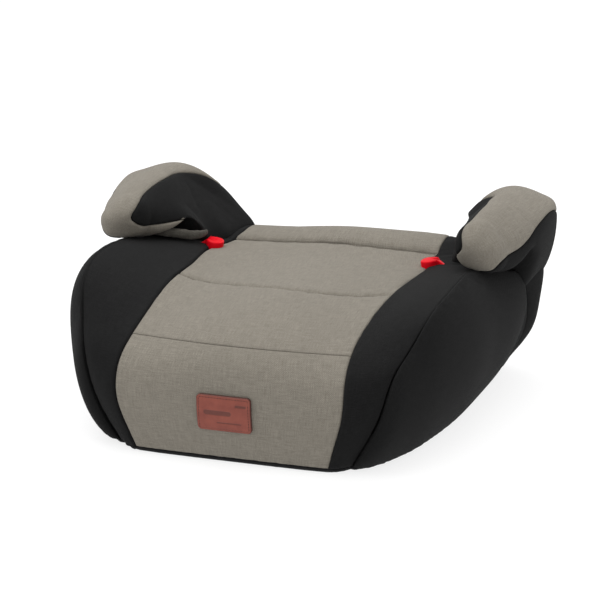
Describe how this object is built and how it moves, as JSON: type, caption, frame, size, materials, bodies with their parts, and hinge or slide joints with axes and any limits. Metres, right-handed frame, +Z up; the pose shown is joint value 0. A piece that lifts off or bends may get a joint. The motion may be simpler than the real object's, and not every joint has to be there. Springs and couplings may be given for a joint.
{
  "type": "child booster seat",
  "caption": "Backless child booster seat with a padded fabric cover over a moulded shell, and armrests that hold a lap belt down.",
  "frame": {"origin": "centre of the bounding box at the underside of the base tray", "axes": "+X to the seated child's left, across the seat; -Y is the front; +Z up"},
  "size_m": [0.4662, 0.3978, 0.2006],
  "materials": {
    "grey_fabric": "heathered woven fabric, matt",
    "black_fabric": "plain woven fabric, matt",
    "foam": "soft padding foam, matt",
    "core_foam": "rigid moulded foam",
    "shell_plastic": "moulded, matt",
    "red_plastic": "moulded, satin",
    "leather": "embossed, satin",
    "elastic": "elastic cord",
    "steel": "zinc plated"
  },
  "bodies": {
    "root": {"armrest_band_left": "grey_fabric", "armrest_band_right": "grey_fabric", "armrest_core_left": "core_foam", "armrest_core_right": "core_foam", "armrest_foam_left": "foam", "armrest_foam_right": "foam", "armrest_inner_panel_left": "black_fabric", "armrest_inner_panel_right": "black_fabric", "armrest_outer_panel_left": "black_fabric", "armrest_outer_panel_right": "black_fabric", "base_screw_1": "steel", "base_screw_2": "steel", "base_screw_3": "steel", "base_screw_4": "steel", "base_tray": "shell_plastic", "belt_guide_left": "red_plastic", "belt_guide_right": "red_plastic", "cover_front": "grey_fabric", "cover_gusset_left": "black_fabric", "cover_gusset_right": "black_fabric", "cover_rear": "grey_fabric", "cover_seat": "grey_fabric", "cover_strip_left": "black_fabric", "cover_strip_right": "black_fabric", "cover_thigh": "grey_fabric", "guide_screw_left": "steel", "guide_screw_right": "steel", "hem_elastic": "elastic", "label_patch": "leather", "seat_foam": "foam", "seat_shell": "shell_plastic", "side_foam_left": "foam", "side_foam_right": "foam"}
  },
  "joints": []
}
